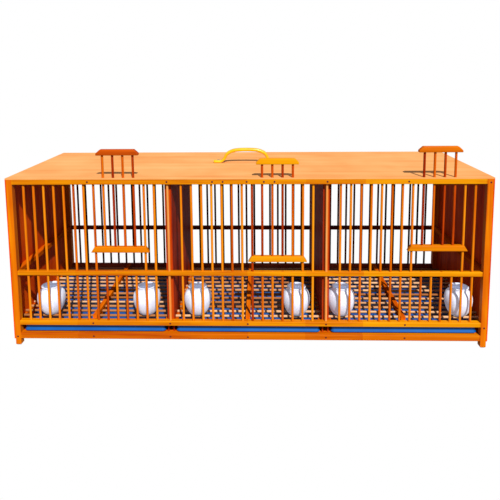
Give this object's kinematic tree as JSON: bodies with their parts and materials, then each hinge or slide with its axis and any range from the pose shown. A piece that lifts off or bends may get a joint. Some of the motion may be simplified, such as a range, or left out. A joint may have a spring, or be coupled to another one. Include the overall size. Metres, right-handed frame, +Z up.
{
  "type": "pigeon cage",
  "caption": "Long low wooden bird cage in side-by-side bays with round bars, lift-up barred doors, slatted floors, pull-out trays, feed cups and a carrying handle.",
  "frame": {"origin": "on the floor under the middle of the cage", "axes": "+X to the right as seen from the barred front, -Y out of the front, +Z up"},
  "size_m": [1.2, 0.4, 0.512],
  "materials": {
    "lacquered_wood": "glossy lacquer",
    "door_wood": "glossy lacquer",
    "roof_board": "satin lacquer",
    "plywood_panel": "satin lacquer",
    "rear_board": "satin lacquer",
    "floor_wood": "satin lacquer",
    "inner_wood": "satin lacquer",
    "handle_plastic": "glossy",
    "tray_plastic": "glossy",
    "cup_plastic": "glossy",
    "screw_steel": "satin"
  },
  "bodies": {
    "cage": {"front_left_post": "lacquered_wood", "rear_left_post": "lacquered_wood", "front_right_post": "lacquered_wood", "rear_right_post": "lacquered_wood", "left_side_panel": "plywood_panel", "right_side_panel": "plywood_panel", "roof_panel": "roof_board", "front_top_rail": "lacquered_wood", "front_mid_rail": "lacquered_wood", "front_sill_rail": "lacquered_wood", "front_bottom_rail": "lacquered_wood", "rear_top_rail": "lacquered_wood", "rear_mid_rail": "lacquered_wood", "rear_bottom_board": "rear_board", "left_top_rail": "lacquered_wood", "right_top_rail": "lacquered_wood", "left_mid_batten": "lacquered_wood", "right_mid_batten": "lacquered_wood", "left_bottom_rail": "inner_wood", "right_bottom_rail": "inner_wood", "left_partition_boards": "plywood_panel", "right_partition_boards": "plywood_panel", "partition_front_stiles": "lacquered_wood", "partition_rear_stiles": "lacquered_wood", "partition_runners": "inner_wood", "bay_runners": "inner_wood", "roof_battens": "inner_wood", "handle_battens": "inner_wood", "left_front_bars": "lacquered_wood", "middle_front_bars": "lacquered_wood", "right_front_bars": "lacquered_wood", "partition_bars": "lacquered_wood", "rear_bars": "lacquered_wood", "left_floor_slats": "floor_wood", "middle_floor_slats": "floor_wood", "right_floor_slats": "floor_wood", "slat_bearers": "floor_wood", "floor_battens": "floor_wood", "carrying_handle": "handle_plastic", "handle_screws": "screw_steel"},
    "left_door": {"left_door_grip": "door_wood", "left_door_bars": "door_wood", "left_door_crosspiece": "door_wood"},
    "middle_door": {"middle_door_grip": "door_wood", "middle_door_bars": "door_wood", "middle_door_crosspiece": "door_wood"},
    "right_door": {"right_door_grip": "door_wood", "right_door_bars": "door_wood", "right_door_crosspiece": "door_wood"},
    "left_tray": {"left_tray": "tray_plastic"},
    "middle_tray": {"middle_tray": "tray_plastic"},
    "right_tray": {"right_tray": "tray_plastic"},
    "left_bay_left_cup": {"left_bay_left_cup": "cup_plastic"},
    "left_bay_right_cup": {"left_bay_right_cup": "cup_plastic"},
    "middle_bay_left_cup": {"middle_bay_left_cup": "cup_plastic"},
    "middle_bay_right_cup": {"middle_bay_right_cup": "cup_plastic"},
    "right_bay_left_cup": {"right_bay_left_cup": "cup_plastic"},
    "right_bay_right_cup": {"right_bay_right_cup": "cup_plastic"}
  },
  "joints": [
    {"name": "left_door_slide", "type": "slide", "parent": "cage", "child": "left_door", "axis": [0, 0, 1], "range_m": [-0.0488, 0.1598]},
    {"name": "middle_door_slide", "type": "slide", "parent": "cage", "child": "middle_door", "axis": [0, 0, 1], "range_m": [-0.0253, 0.1833]},
    {"name": "right_door_slide", "type": "slide", "parent": "cage", "child": "right_door", "axis": [0, 0, 1], "range_m": [-0.0538, 0.1548]},
    {"name": "left_tray_slide", "type": "slide", "parent": "cage", "child": "left_tray", "axis": [0, -1, 0], "range_m": [0, 0.36]},
    {"name": "middle_tray_slide", "type": "slide", "parent": "cage", "child": "middle_tray", "axis": [0, -1, 0], "range_m": [0, 0.36]},
    {"name": "right_tray_slide", "type": "slide", "parent": "cage", "child": "right_tray", "axis": [0, -1, 0], "range_m": [0, 0.36]},
    {"name": "left_bay_left_cup_lift", "type": "slide", "parent": "cage", "child": "left_bay_left_cup", "axis": [0, 0, 1], "range_m": [0, 0.06]},
    {"name": "left_bay_right_cup_lift", "type": "slide", "parent": "cage", "child": "left_bay_right_cup", "axis": [0, 0, 1], "range_m": [0, 0.06]},
    {"name": "middle_bay_left_cup_lift", "type": "slide", "parent": "cage", "child": "middle_bay_left_cup", "axis": [0, 0, 1], "range_m": [0, 0.06]},
    {"name": "middle_bay_right_cup_lift", "type": "slide", "parent": "cage", "child": "middle_bay_right_cup", "axis": [0, 0, 1], "range_m": [0, 0.06]},
    {"name": "right_bay_left_cup_lift", "type": "slide", "parent": "cage", "child": "right_bay_left_cup", "axis": [0, 0, 1], "range_m": [0, 0.06]},
    {"name": "right_bay_right_cup_lift", "type": "slide", "parent": "cage", "child": "right_bay_right_cup", "axis": [0, 0, 1], "range_m": [0, 0.06]}
  ]
}
